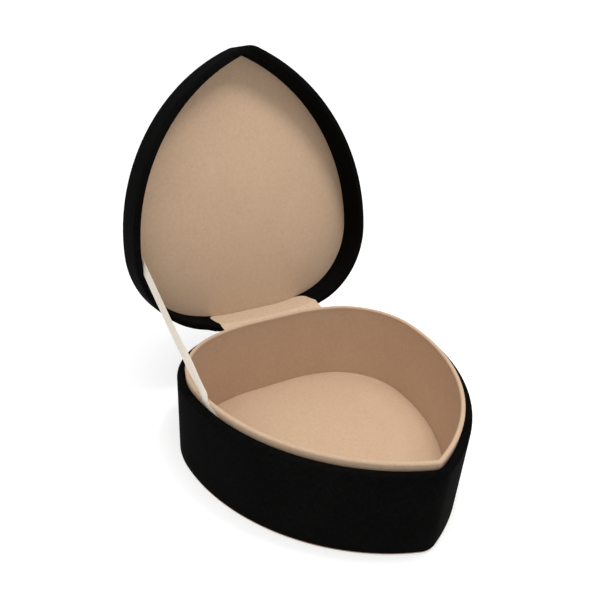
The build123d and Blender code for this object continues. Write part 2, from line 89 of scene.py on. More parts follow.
@dataclass(frozen=True)
class Outline:
    """The box seen from above: a straight back, two shoulders, two lobes and two flanks."""

    length: float = 180.0
    hinge_half: float = 16.0
    shoulder_r: float = 107.5
    shoulder_turn: float = radians(18.4)
    lobe_r: float = 54.8
    flank_r: float = 130.0
    nose_r: float = 14.0

    @property
    def back(self) -> float:
        """Distance from the middle to the hinge side."""
        return self.length / 2

    @property
    def shoulder_centre(self) -> Point:
        """Middle of the right shoulder's arc."""
        return self.hinge_half, self.back - self.shoulder_r

    @property
    def lobe_centre(self) -> Point:
        """Middle of the right lobe's arc."""
        x, y = self.shoulder_centre
        reach = self.shoulder_r - self.lobe_r
        return x + reach * sin(self.shoulder_turn), y + reach * cos(self.shoulder_turn)

    @property
    def flank_centre(self) -> Point:
        """Middle of the right flank's arc."""
        x, y = self.lobe_centre
        return x + self.lobe_r - self.flank_r, y

    @property
    def nose_centre(self) -> Point:
        """Middle of the rounding of the nose."""
        x, y = self.flank_centre
        return 0.0, y - sqrt((self.flank_r - self.nose_r) ** 2 - x ** 2)

    def turns(self, mitred: bool) -> list[Turn]:
        """Arcs from the back to the nose on the right side.

        Args:
            mitred: True where the two flanks simply meet, False for a rounded nose.

        Returns:
            The arcs in order.
        """
        past_nose = radians(73)
        flank_x, flank_y = self.flank_centre
        to_nose = atan2(flank_y - self.nose_centre[1], -flank_x)
        arcs = [
            Turn(self.shoulder_centre, self.shoulder_turn, 10),
            Turn(self.lobe_centre, pi / 2 - self.shoulder_turn, 22),
            Turn(self.flank_centre, past_nose if mitred else to_nose, 30),
        ]
        if not mitred:
            arcs.append(Turn(self.nose_centre, pi / 2 - to_nose, 6))
        return arcs

    def left_wall(self, y: float, inset: float) -> float:
        """X of the left lobe or flank.

        Args:
            y: Where along the box.
            inset: Distance inside the outer face.

        Returns:
            The wall's X.
        """
        lobe_x, lobe_y = self.lobe_centre
        if y > lobe_y:
            return -(lobe_x + sqrt((self.lobe_r - inset) ** 2 - (y - lobe_y) ** 2))
        flank_x, flank_y = self.flank_centre
        return -(flank_x + sqrt((self.flank_r - inset) ** 2 - (y - flank_y) ** 2))

    def back_wall(self, x: float, inset: float) -> float:
        """Y of the back wall between the lobes.

        Args:
            x: Where across the box.
            inset: Distance inside the outer face.

        Returns:
            The wall's Y.
        """
        centre_x, centre_y = self.shoulder_centre
        past = max(abs(x) - centre_x, 0.0)
        return centre_y + sqrt((self.shoulder_r - inset) ** 2 - past ** 2)


@dataclass(frozen=True)
class Heights:
    """Levels and thicknesses that the sub-assemblies share."""

    wall_top: float = 55.5
    lip: float = 4.5
    lid_depth: float = 20.0
    lid_height: float = 25.4
    hinge_drop: float = 3.0
    open_angle: float = 99.5
    velvet: float = 0.7
    felt: float = 0.7
    card: float = 0.9
    lid_wall: float = 3.8
    ledge: float = 4.3
    collar_outer: float = 4.6
    collar_inner: float = 6.9
    underside: float = 1.0
    floor_card_top: float = 2.9
    floor_top: float = 3.6
    turn_in: float = 13.0
    tongue_half: float = 40.0
    tongue_slope: float = 4.0
    tongue_gap: float = 0.5
    strip_half: float = 39.0
    strip_middle: float = 3.0
    pile: float = 0.45

    @property
    def hinge(self) -> float:
        """Height of the hinge line."""
        return self.wall_top - self.hinge_drop

    @property
    def lip_top(self) -> float:
        """Top of the rolled lip."""
        return self.wall_top + self.lip

    @property
    def lid_top(self) -> float:
        """Outside top of the shut lid."""
        return self.wall_top + self.lid_height

    @property
    def panel(self) -> float:
        """Face of the lid's inner panel, with the lid shut."""
        return self.wall_top + self.lid_depth


PLAN = Outline()
LEVEL = Heights()


class Side(Enum):
    """Which way a sheet's good face looks."""

    OUT = Vector((1, 0, 0))
    UP = Vector((0, 0, 1))
    DOWN = Vector((0, 0, -1))


# ---- Modelling tools ----

def deselect_all() -> None:
    """Leave nothing selected."""
    bpy.ops.object.select_all(action="DESELECT")


def activate(piece: Piece) -> None:
    """Select one piece alone and make it the active one."""
    deselect_all()
    piece.select_set(True)
    bpy.context.view_layer.objects.active = piece


class Editing:
    """Edit mode on one piece, for as long as a with block lasts."""

    def __init__(self, piece: Piece, kind: str = "VERT") -> None:
        """Remember the piece and what is selected in it: VERT, EDGE or FACE."""
        self.piece = piece
        self.kind = kind

    def __enter__(self) -> None:
        """Go into edit mode."""
        activate(self.piece)
        bpy.ops.object.mode_set(mode="EDIT")
        bpy.ops.mesh.select_mode(type=self.kind)

    def __exit__(self, *stopped: object) -> None:
        """Go back to object mode."""
        bpy.ops.object.mode_set(mode="OBJECT")


def select_where(piece: Piece, test: Test) -> None:
    """Select the vertices that pass a test, and the edges and faces wholly among them.

    Args:
        piece: The piece, in object mode.
        test: Called with each vertex's place.
    """
    mesh = piece.data
    chosen = {vertex.index for vertex in mesh.vertices if test(vertex.co)}
    for vertex in mesh.vertices:
        vertex.select = vertex.index in chosen
    for edge in mesh.edges:
        edge.select = chosen.issuperset(edge.vertices)
    for face in mesh.polygons:
        face.select = chosen.issuperset(face.vertices)


def apply_modifier(piece: Piece, kind: str, **settings: object) -> None:
    """Add a modifier and apply it.

    Args:
        piece: The piece that is changed.
        kind: Blender's name for the modifier.
        settings: The modifier's properties.
    """
    activate(piece)
    modifier = piece.modifiers.new(kind.title(), kind)
    for name, value in settings.items():
        setattr(modifier, name, value)
    bpy.ops.object.modifier_apply(modifier=modifier.name)


def face_towards(piece: Piece, side: Side) -> None:
    """Turn a sheet's faces so that its furthest one on a side looks that way."""
    furthest = max(piece.data.polygons, key=lambda face: face.center.dot(side.value))
    if furthest.normal.dot(side.value) < 0:
        with Editing(piece, "FACE"):
            bpy.ops.mesh.select_all(action="SELECT")
            bpy.ops.mesh.flip_normals()


def smooth(piece: Piece, angle: float = 40.0) -> None:
    """Shade smooth, with edges sharper than an angle in degrees left crisp."""
    activate(piece)
    bpy.ops.object.shade_smooth_by_angle(angle=radians(angle))


def rounding(centre: Point, radius: float, first: float, last: float, steps: int = 6) -> Section:
    """Points on an arc of a section.

    Args:
        centre: Inset and height of the arc's middle.
        radius: The arc's radius.
        first: Direction of the first point, in degrees, 0 towards the inside and 90 up.
        last: Direction of the last point.
        steps: Number of steps between them.

    Returns:
        The arc's points, ends included.
    """
    turned = [radians(first + (last - first) * step / steps) for step in range(steps + 1)]
    return [(centre[0] + radius * cos(a), centre[1] + radius * sin(a)) for a in turned]


def swept_sheet(name: str, section: Section, mitred: bool, side: Side, zone: Point | None = None) -> Piece:
    """Carry a section round the outline as an open sheet.

    Args:
        name: Name of the new piece.
        section: Inset and height of each point.
        mitred: True where the flanks meet in a corner at the nose.
        side: Which way the good face looks.
        zone: Distances from the middle where the back gets extra loops across it.

    Returns:
        The sheet, with both halves joined.
    """
    deselect_all()
    bpy.ops.mesh.primitive_circle_add(vertices=len(section), radius=MM, fill_type="NOTHING")
    piece = bpy.context.object
    piece.name = piece.data.name = name
    for vertex, (inset, height) in zip(piece.data.vertices, section):
        vertex.co = Vector((0, PLAN.back - inset, height)) * MM
    ends = [Vector((0, PLAN.back - inset, height)) * MM for inset, height in (section[0], section[-1])]
    select_where(piece, lambda place: min((place - end).length for end in ends) < 1e-7)
    with Editing(piece, "EDGE"):
        bpy.ops.mesh.delete(type="EDGE")
        bpy.ops.mesh.select_all(action="SELECT")
        bpy.ops.mesh.extrude_edges_move(TRANSFORM_OT_translate={"value": (PLAN.hinge_half * MM, 0, 0)})
        for turn in PLAN.turns(mitred):
            centre = (turn.centre[0] * MM, turn.centre[1] * MM, 0)
            bpy.ops.mesh.spin(steps=turn.steps, angle=turn.angle, center=centre, axis=(0, 0, 1))
        bpy.ops.mesh.select_all(action="SELECT")
        bpy.ops.mesh.bisect(plane_co=(0, 0, 0), plane_no=(1, 0, 0), clear_inner=True)
    for x in zone or ():
        select_where(piece, lambda place: place.y > 0)
        with Editing(piece, "FACE"):
            bpy.ops.mesh.bisect(plane_co=(x * MM, 0, 0), plane_no=(1, 0, 0))
    apply_modifier(piece, "MIRROR", use_axis=(True, False, False), merge_threshold=2e-6)
    with Editing(piece):
        bpy.ops.mesh.select_all(action="SELECT")
        bpy.ops.mesh.remove_doubles(threshold=2e-6)
    face_towards(piece, side)
    return piece


def close_at(piece: Piece, height: float) -> None:
    """Fill the open ring at a height with one face."""
    mesh = piece.data
    uses: dict[tuple[int, int], int] = {}
    for face in mesh.polygons:
        for key in face.edge_keys:
            uses[key] = uses.get(key, 0) + 1
    select_where(piece, lambda place: False)
    for edge in mesh.edges:
        places = [mesh.vertices[index].co for index in edge.vertices]
        if uses.get(edge.key) == 1 and all(abs(place.z - height * MM) < 1e-6 for place in places):
            edge.select = True
            for index in edge.vertices:
                mesh.vertices[index].select = True
    with Editing(piece, "EDGE"):
        bpy.ops.mesh.edge_face_add()


def thicken(piece: Piece, thickness: float, offset: float = -1.0) -> None:
    """Give a sheet its thickness, inwards from its good face unless told otherwise."""
    apply_modifier(
        piece,
        "SOLIDIFY",
        thickness=thickness * MM,
        offset=offset,
        use_even_offset=True,
        use_rim=True,
    )


def ease(share: float) -> float:
    """Smooth step from 0 to 1."""
    share = min(max(share, 0.0), 1.0)
    return share * share * (3 - 2 * share)


def drop_rim(piece: Piece, gap: float, above: float, below: float) -> None:
    """Lower part of a wall in the hinge zone, with flared ends.

    Args:
        piece: A swept wall.
        gap: How much wider than the lid's tongue the zone is, at each end.
        above: Only what is above this height moves.
        below: Only what is below this height moves.
    """
    half = LEVEL.tongue_half + gap
    for vertex in piece.data.vertices:
        place = vertex.co / MM
        if place.y < 0 or not above < place.z < below:
            continue
        share = (half + LEVEL.tongue_slope - abs(place.x)) / LEVEL.tongue_slope
        vertex.co.z -= LEVEL.hinge_drop * MM * min(max(share, 0.0), 1.0)


def crease_nose(piece: Piece, depth: float, facing: Test) -> None:
    """Draw the sheet in along the middle of the nose, where its ends are stitched.

    Args:
        piece: A mitred sheet.
        depth: How far the seam sinks.
        facing: Which of the seam's vertices sink, by their normal.
    """
    for vertex in piece.data.vertices:
        on_seam = abs(vertex.co.x) < 1e-6 and vertex.co.y < 0
        if on_seam and facing(vertex.normal):
            vertex.co -= vertex.normal * depth * MM


def lid_turn() -> Matrix:
    """The turn about the hinge line that opens what is modelled shut."""
    hinge = Vector((0, PLAN.back, LEVEL.hinge)) * MM
    turn = Matrix.Rotation(radians(-LEVEL.open_angle), 4, "X")
    return Matrix.Translation(hinge) @ turn @ Matrix.Translation(-hinge)


def opened(piece: Piece) -> None:
    """Turn a lid piece to its open place."""
    piece.data.transform(lid_turn())


# ---- Shared surface effects ----

@dataclass
class Effect:
    """A shader node group under construction.

    Args:
        name: The group's name.
        inputs: Its float inputs with their usual values; it always has a Vector as well.
    """

    name: str
    inputs: dict[str, float]

    def __post_init__(self) -> None:
        """Make the group with its sockets."""
        self.tree = bpy.data.node_groups.new(self.name, "ShaderNodeTree")
        sockets = self.tree.interface
        sockets.new_socket("Vector", in_out="INPUT", socket_type="NodeSocketVector")
        for label, usual in self.inputs.items():
            made = sockets.new_socket(label, in_out="INPUT", socket_type="NodeSocketFloat")
            made.default_value = usual
        for label in ("Height", "Shade"):
            sockets.new_socket(label, in_out="OUTPUT", socket_type="NodeSocketFloat")
        self.given = self.tree.nodes.new("NodeGroupInput").outputs
        self.result = self.tree.nodes.new("NodeGroupOutput").inputs

    def noise(self, vector: Socket, scale: Socket | float, detail: float, warp: float = 0.0) -> Socket:
        """Noise from 0 to 1 at a scale."""
        node = self.tree.nodes.new("ShaderNodeTexNoise")
        node.inputs["Detail"].default_value = detail
        node.inputs["Distortion"].default_value = warp
        feed(self.tree, node.inputs["Vector"], vector)
        feed(self.tree, node.inputs["Scale"], scale)
        return node.outputs["Fac"]

    def math(self, kind: str, *values: Socket | float) -> Socket:
        """Result of a Math node."""
        return math_node(self.tree, kind, *values)


def feed(tree: bpy.types.NodeTree, socket: Socket, value: Socket | float | Sequence[float]) -> None:
    """Link a socket to another, or set it to a plain value."""
    if isinstance(value, bpy.types.NodeSocket):
        tree.links.new(value, socket)
    else:
        socket.default_value = value


def math_node(tree: bpy.types.NodeTree, kind: str, *values: Socket | float) -> Socket:
    """Add a Math node.

    Args:
        tree: Where it goes.
        kind: Blender's name for the operation.
        values: Its inputs, linked or plain.

    Returns:
        Its output.
    """
    node = tree.nodes.new("ShaderNodeMath")
    node.operation = kind
    for socket, value in zip(node.inputs, values):
        feed(tree, socket, value)
    return node.outputs[0]


def nap_effect() -> bpy.types.NodeTree:
    """Short pile: fine fibres, flecks where they clump, and broad brushed patches."""
    effect = Effect("short_nap", {"Fibre": 2600.0, "Patch": 28.0})
    vector = effect.given["Vector"]
    fibre = effect.noise(vector, effect.given["Fibre"], 4.0, 0.4)
    clump = effect.noise(vector, effect.math("MULTIPLY", effect.given["Fibre"], 0.27), 2.0, 0.8)
    patch = effect.noise(vector, effect.given["Patch"], 3.0, 1.2)
    rough = effect.math("MULTIPLY_ADD", clump, 0.45, effect.math("MULTIPLY", fibre, 0.55))
    feed(effect.tree, effect.result["Height"], rough)
    shade = effect.math("MULTIPLY_ADD", patch, 0.2, effect.math("MULTIPLY", rough, 0.8))
    feed(effect.tree, effect.result["Shade"], shade)
    return effect.tree


def weave_effect() -> bpy.types.NodeTree:
    """Threads over and under, counted along the two ways of a UV map."""
    effect = Effect("plain_weave", {"Across": 60.0, "Along": 60.0})
    parts = effect.tree.nodes.new("ShaderNodeSeparateXYZ")
    feed(effect.tree, parts.inputs[0], effect.given["Vector"])
    warp = effect.math("MULTIPLY", parts.outputs["X"], effect.math("MULTIPLY", effect.given["Across"], pi))
    weft = effect.math("MULTIPLY", parts.outputs["Y"], effect.math("MULTIPLY", effect.given["Along"], pi))
    crossing = effect.math("MULTIPLY", effect.math("SINE", warp), effect.math("SINE", weft))
    raised = effect.math("MULTIPLY_ADD", crossing, 0.5, 0.5)
    uneven = effect.noise(effect.given["Vector"], 24.0, 3.0)
    feed(effect.tree, effect.result["Height"], raised)
    shade = effect.math("MULTIPLY_ADD", uneven, 0.7, effect.math("MULTIPLY", raised, 0.3))
    feed(effect.tree, effect.result["Shade"], shade)
    return effect.tree


def grain_effect() -> bpy.types.NodeTree:
    """Long grain along X: brushing on metal, and fibres in card, board and wood."""
    effect = Effect("long_grain", {"Fine": 900.0, "Stretch": 12.0, "Blotch": 60.0})
    scaled = effect.tree.nodes.new("ShaderNodeVectorMath")
    scaled.operation = "MULTIPLY"
    factor = effect.tree.nodes.new("ShaderNodeCombineXYZ")
    feed(effect.tree, factor.inputs["X"], effect.math("DIVIDE", 1.0, effect.given["Stretch"]))
    for axis in ("Y", "Z"):
        factor.inputs[axis].default_value = 1.0
    feed(effect.tree, scaled.inputs[0], effect.given["Vector"])
    feed(effect.tree, scaled.inputs[1], factor.outputs[0])
    grain = effect.noise(scaled.outputs[0], effect.given["Fine"], 3.0, 0.2)
    blotch = effect.noise(effect.given["Vector"], effect.given["Blotch"], 4.0, 0.6)
    feed(effect.tree, effect.result["Height"], grain)
    shade = effect.math("MULTIPLY_ADD", blotch, 0.55, effect.math("MULTIPLY", grain, 0.45))
    feed(effect.tree, effect.result["Shade"], shade)
    return effect.tree


class Surface(Enum):
    """The effect that a finish is drawn with."""

    NAP = "short_nap"
    WEAVE = "plain_weave"
    GRAIN = "long_grain"


EFFECTS = {Surface.NAP: nap_effect, Surface.WEAVE: weave_effect, Surface.GRAIN: grain_effect}


@dataclass(frozen=True)
class Finish:
    """One material of the box.

    Args:
        name: The material's name.
        surface: The effect it is drawn with.
        dark: Colour where the effect is low, linear red, green and blue.
        light: Colour where it is high.
        values: The effect's own inputs.
        rough: Lowest and highest roughness.
        relief: Height of the bump, in millimetres.
        strength: How strongly the bump shows.
        spread: How hard the colours part; 0 is a soft blend and towards 1 a crisp one.
        metallic: 1 for metal.
        sheen: Weight of the fuzz that catches light at grazing angles.
        sheen_rough: Width of that fuzz's highlight.
        sheen_tint: Its colour.
        specular: Level of the plain reflection.
        turned: Turn of the pattern about Z, in degrees.
    """

    name: str
    surface: Surface
    dark: tuple[float, float, float]
    light: tuple[float, float, float]
    values: dict[str, float] = field(default_factory=dict)
    rough: Point = (0.8, 1.0)
    relief: float = 0.1
    strength: float = 0.5
    spread: float = 0.4
    metallic: float = 0.0
    sheen: float = 0.0
    sheen_rough: float = 0.5
    sheen_tint: tuple[float, float, float] = (1.0, 1.0, 1.0)
    specular: float = 0.3
    turned: float = 0.0

    def material(self) -> bpy.types.Material:
        """Build the material, or find it if it is there already."""
        made = bpy.data.materials.get(self.name)
        if made:
            return made
        made = bpy.data.materials.new(self.name)
        made.use_nodes = True
        tree = made.node_tree
        shader = tree.nodes["Principled BSDF"]
        effect = self.effect(tree)
        self.colour(tree, shader, effect.outputs["Shade"])
        self.bump(tree, shader, effect.outputs["Height"])
        shader.inputs["Metallic"].default_value = self.metallic
        shader.inputs["Specular IOR Level"].default_value = self.specular
        shader.inputs["Sheen Weight"].default_value = self.sheen
        shader.inputs["Sheen Roughness"].default_value = self.sheen_rough
        shader.inputs["Sheen Tint"].default_value = (*self.sheen_tint, 1)
        return made

    def effect(self, tree: bpy.types.NodeTree) -> bpy.types.Node:
        """Place the shared effect with this finish's own values."""
        node = tree.nodes.new("ShaderNodeGroup")
        known = bpy.data.node_groups.get(self.surface.value)
        node.node_tree = known or EFFECTS[self.surface]()
        places = tree.nodes.new("ShaderNodeTexCoord")
        mapping = tree.nodes.new("ShaderNodeMapping")
        mapping.inputs["Rotation"].default_value = (0, 0, radians(self.turned))
        kind = "UV" if self.surface is Surface.WEAVE else "Object"
        tree.links.new(places.outputs[kind], mapping.inputs["Vector"])
        tree.links.new(mapping.outputs[0], node.inputs["Vector"])
        for label, value in self.values.items():
            node.inputs[label].default_value = value
        return node

    def colour(self, tree: bpy.types.NodeTree, shader: bpy.types.Node, shade: Socket) -> None:
        """Colour and roughness that follow the shade."""
        ramp = tree.nodes.new("ShaderNodeValToRGB")
        low, high = ramp.color_ramp.elements
        low.position, high.position = 0.5 * self.spread, 1 - 0.5 * self.spread
        low.color, high.color = (*self.dark, 1), (*self.light, 1)
        tree.links.new(shade, ramp.inputs[0])
        tree.links.new(ramp.outputs["Color"], shader.inputs["Base Color"])
        rough = tree.nodes.new("ShaderNodeMapRange")
        rough.inputs["To Min"].default_value, rough.inputs["To Max"].default_value = self.rough
        tree.links.new(shade, rough.inputs[0])
        tree.links.new(rough.outputs[0], shader.inputs["Roughness"])

    def bump(self, tree: bpy.types.NodeTree, shader: bpy.types.Node, height: Socket) -> None:
        """Relief from the effect's height."""
        bump = tree.nodes.new("ShaderNodeBump")
        bump.inputs["Strength"].default_value = self.strength
        bump.inputs["Distance"].default_value = self.relief * MM
        tree.links.new(height, bump.inputs["Height"])
        tree.links.new(bump.outputs[0], shader.inputs["Normal"])


BLACK_VELVET = Finish(
    "velvet_pile", Surface.NAP, (0.0010, 0.0009, 0.0009), (0.0062, 0.0058, 0.0056),
    {"Fibre": 2300.0, "Patch": 30.0}, rough=(0.85, 1.0), relief=0.15, strength=0.7, spread=0.62,
    sheen=0.006, sheen_rough=0.35, sheen_tint=(0.8, 0.79, 0.76), specular=0.01,
)
BEIGE_NAP = Finish(
    "beige_nap_lining", Surface.NAP, (0.50, 0.35, 0.235), (0.62, 0.445, 0.31),
    {"Fibre": 1900.0, "Patch": 22.0}, rough=(0.85, 1.0), relief=0.12, strength=0.5, spread=0.62,
    sheen=0.06, sheen_rough=0.5, sheen_tint=(1.0, 0.93, 0.84), specular=0.1,
)
HINGE_CLOTH = Finish(
    "strip_cloth", Surface.WEAVE, (0.54, 0.39, 0.265), (0.70, 0.53, 0.385),
    {"Across": 210.0, "Along": 110.0}, rough=(0.75, 0.95), relief=0.06, strength=0.5, spread=0.5,
    sheen=0.05, sheen_rough=0.5, sheen_tint=(1.0, 0.93, 0.84), specular=0.15,
)
IVORY_SATIN = Finish(
    "ivory_satin", Surface.WEAVE, (0.66, 0.58, 0.48), (0.86, 0.79, 0.69),
    {"Across": 26.0, "Along": 520.0}, rough=(0.32, 0.5), relief=0.03, strength=0.35, spread=0.3,
    sheen=0.15, sheen_rough=0.3, sheen_tint=(1.0, 0.97, 0.92), specular=0.45,
)
PINK_CARD = Finish(
    "pinkish_card", Surface.GRAIN, (0.52, 0.37, 0.27), (0.68, 0.52, 0.41),
    {"Fine": 700.0, "Stretch": 4.0, "Blotch": 90.0}, rough=(0.7, 0.9), relief=0.05, strength=0.4,
)
GREY_BOARD = Finish(
    "pressed_board", Surface.GRAIN, (0.16, 0.11, 0.07), (0.40, 0.31, 0.21),
    {"Fine": 520.0, "Stretch": 3.0, "Blotch": 140.0}, rough=(0.75, 0.95), relief=0.12, strength=0.6,
)
FOAM = Finish(
    "white_wadding", Surface.NAP, (0.62, 0.60, 0.54), (0.82, 0.80, 0.75),
    {"Fibre": 900.0, "Patch": 60.0}, relief=0.25, strength=0.7, sheen=0.2,
)
PLANED_WOOD = Finish(
    "planed_wood", Surface.GRAIN, (0.28, 0.15, 0.065), (0.55, 0.36, 0.19),
    {"Fine": 420.0, "Stretch": 16.0, "Blotch": 40.0},
    rough=(0.5, 0.75), relief=0.06, strength=0.5, turned=40.0,
)
SATIN_BRASS = Finish(
    "satin_brass", Surface.GRAIN, (0.50, 0.33, 0.11), (0.78, 0.57, 0.24),
    {"Fine": 1600.0, "Stretch": 20.0, "Blotch": 120.0}, rough=(0.2, 0.42), relief=0.015, strength=0.4,
    metallic=1.0, specular=0.5, turned=40.0,
)
BRUSHED_STEEL = Finish(
    "brushed_steel", Surface.GRAIN, (0.38, 0.38, 0.40), (0.62, 0.62, 0.64),
    {"Fine": 1800.0, "Stretch": 24.0, "Blotch": 150.0}, rough=(0.22, 0.45), relief=0.015, strength=0.4,
    metallic=1.0, specular=0.5, turned=40.0,
)
NICKEL_PLATE = Finish(
    "nickel_plate", Surface.GRAIN, (0.52, 0.50, 0.46), (0.74, 0.72, 0.68),
    {"Fine": 1200.0, "Stretch": 6.0, "Blotch": 100.0}, rough=(0.12, 0.3), relief=0.01, strength=0.3,
    metallic=1.0, specular=0.5,
)
PALE_FLOOR = Finish(
    "pale_floor", Surface.GRAIN, (0.86, 0.86, 0.86), (0.90, 0.90, 0.90),
    {"Fine": 40.0, "Stretch": 1.0, "Blotch": 6.0}, rough=(0.8, 0.95), relief=0.02, strength=0.1, specular=0.1,
)


def dress(piece: Piece, finish: Finish) -> None:
    """Give every slot of a piece one finish, and add a slot where it has none."""
    if not piece.material_slots:
        piece.data.materials.append(finish.material())
        return
    for slot in piece.material_slots:
        slot.material = finish.material()


@dataclass
class Assembly:
    """A sub-assembly: it makes its pieces, dresses them and says what it made."""

    def put(self, piece: Piece, finish: Finish, body: str, slot: str, *nodes: str) -> None:
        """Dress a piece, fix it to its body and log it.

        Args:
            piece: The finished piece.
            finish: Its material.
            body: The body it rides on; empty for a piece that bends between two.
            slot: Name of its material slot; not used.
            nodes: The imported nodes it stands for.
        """
        dress(piece, finish)
        if body:
            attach(piece, body)
        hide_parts(*nodes)
        log.info("%s: %d faces, %s", piece.name, len(piece.data.polygons), finish.name)

    def dress_nodes(self, finishes: dict[str, Finish]) -> None:
        """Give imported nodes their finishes.

        Args:
            finishes: Finish by node name.
        """
        for name, finish in finishes.items():
            dress(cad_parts[name], finish)
            log.info("%s: packed node, %s", name, finish.name)


# ---- Base ----

@dataclass
class BaseCase(Assembly):
    """Black velvet wall with its ledge, the beige collar with the rolled lip, and the floor."""

    edge_r: float = 1.9
    tuck: float = 0.5
    ledge_r: float = 0.5
    lip_r: float = 1.35
    seam: float = 0.3
    floor_edge: float = 0.35
    floor_gap: float = 0.05
    board_top: float = 2.4

    def build(self) -> None:
        """Make and dress the base's pieces."""
        self.make_velvet()
        self.make_collar()
        self.make_floor()
        self.dress_nodes({
            "wall_board": GREY_BOARD,
            "base_board": GREY_BOARD,
            "underside_card": PINK_CARD,
            "collar_card": PINK_CARD,
            "floor_card": PINK_CARD,
        })

    def make_velvet(self) -> None:
        """Velvet over the wall: outside, rounded top edge, ledge and turn-in."""
        top, low = LEVEL.wall_top, LEVEL.underside
        tuck, pile = self.tuck, LEVEL.pile
        section = [(tuck, low), (0.1 - pile / 2, low + tuck / 2), (-pile, low + 3 * tuck)]
        section += [(-pile, top * share) for share in (0.2, 0.4, 0.6, 0.8)]
        section += rounding((self.edge_r - pile, top - self.edge_r), self.edge_r, 180, 90)
        section += rounding((LEVEL.ledge - self.ledge_r, top - self.ledge_r), self.ledge_r, 90, 0, 3)
        section += [(LEVEL.ledge, top - 5), (LEVEL.ledge, top - LEVEL.turn_in)]
        half = LEVEL.tongue_half + LEVEL.tongue_gap
        zone = (half, half + LEVEL.tongue_slope)
        piece = swept_sheet("velvet_case", section, False, Side.OUT, zone)
        drop_rim(piece, LEVEL.tongue_gap, above=top - self.edge_r - 0.1, below=top + 1)
        thicken(piece, LEVEL.velvet - 0.02)
        smooth(piece)
        self.put(piece, BLACK_VELVET, "base", "black_velvet", "velvet_wrap")

    def make_collar(self) -> None:
        """Lining of the wall, folded over its card in a rolled lip and stitched at the nose."""
        outer, inner, top = LEVEL.collar_outer, LEVEL.collar_inner, LEVEL.lip_top
        middle = (outer + inner) / 2
        roll = top - self.lip_r
        section = [(outer, LEVEL.wall_top - LEVEL.turn_in), (outer, LEVEL.wall_top - 4), (outer, roll - 1.8)]
        section += rounding((middle, roll), self.lip_r, 195, -15, 14)
        section += [(inner + 0.05, roll - 1.8), (inner, roll - 3.6)]
        section += [(inner, top * share) for share in (0.75, 0.5, 0.25)] + [(inner, self.board_top + 0.1)]
        piece = swept_sheet("collar_sleeve", section, True, Side.OUT, (0.35,))
        crease_nose(piece, self.seam, lambda normal: normal.y < 0.5)
        thicken(piece, LEVEL.felt - 0.05)
        smooth(piece, 50)
        self.put(piece, BEIGE_NAP, "base", "beige_lining", "collar_lining")

    def make_floor(self) -> None:
        """Felt floor with a soft edge, cut round the movement's housing."""
        edge = LEVEL.collar_inner + self.floor_gap
        low, top = LEVEL.floor_card_top, LEVEL.floor_top
        section = [(edge, low + 0.05)]
        section += rounding((edge + self.floor_edge, top - self.floor_edge), self.floor_edge, 180, 90, 4)
        section += [(edge + 4, top), (edge + 12, top)]
        piece = swept_sheet("felt_floor", section, True, Side.UP)
        close_at(piece, top)
        face_towards(piece, Side.UP)
        thicken(piece, LEVEL.felt - 0.1)
        cutter = MovementHousing().block("floor_cutter", -1.0, 10.0, 0.02)
        apply_modifier(piece, "BOOLEAN", operation="DIFFERENCE", solver="EXACT", object=cutter)
        bpy.data.objects.remove(cutter)
        smooth(piece, 35)
        self.put(piece, BEIGE_NAP, "base", "beige_lining", "floor_lining")


@dataclass
class MovementHousing(Assembly):
    """Felt-covered card housing over the musical movement."""

    half_x: float = 26.1
    half_y: float = 18.7
    top: float = 25.7
    corner_r: float = 1.1
    crown: float = 0.2
    place: Point = (-24.0, -42.5)
    turned: float = -40.0

    def block(self, name: str, low: float, high: float, grow: float) -> Piece:
        """Plain block over the housing's footprint.

        Args:
            name: Name of the new piece.
            low: Its underside.
            high: Its top.
            grow: How much bigger it is on each side.

        Returns:
            The block, with its place in its mesh.
        """
        deselect_all()
        bpy.ops.mesh.primitive_cube_add(
            size=1,
            location=(self.place[0] * MM, self.place[1] * MM, (low + high) / 2 * MM),
            rotation=(0, 0, radians(self.turned)),
            scale=(2 * (self.half_x + grow) * MM, 2 * (self.half_y + grow) * MM, (high - low) * MM),
        )
        piece = bpy.context.object
        piece.name = piece.data.name = name
        bpy.ops.object.transform_apply(location=True, rotation=True, scale=True)
        return piece

    def build(self) -> None:
        """Make the felt cover and dress the card under it."""
        low = LEVEL.floor_top
        piece = self.block("felt_housing", low, self.top - self.crown, 0.0)
        select_where(piece, lambda place: place.z < low * MM + 1e-6)
        with Editing(piece, "FACE"):
            bpy.ops.mesh.delete(type="FACE")
        with Editing(piece, "EDGE"):
            bpy.ops.mesh.select_all(action="SELECT")
            bpy.ops.mesh.region_to_loop()
            bpy.ops.mesh.select_all(action="INVERT")
            bpy.ops.mesh.bevel(offset=self.corner_r * MM, segments=4, affect="EDGES")
        roof = (self.top - self.crown) * MM
        select_where(piece, lambda place: place.z > roof - 1e-6)
        with Editing(piece, "FACE"):
            for _ in range(2):
                bpy.ops.mesh.inset(thickness=4 * MM)
                bpy.ops.transform.translate(value=(0, 0, self.crown / 2 * MM))
        thicken(piece, LEVEL.felt - 0.15)
        smooth(piece, 50)
        self.put(piece, BEIGE_NAP, "base", "beige_lining", "housing_lining")
        self.dress_nodes({"movement_housing": PINK_CARD})


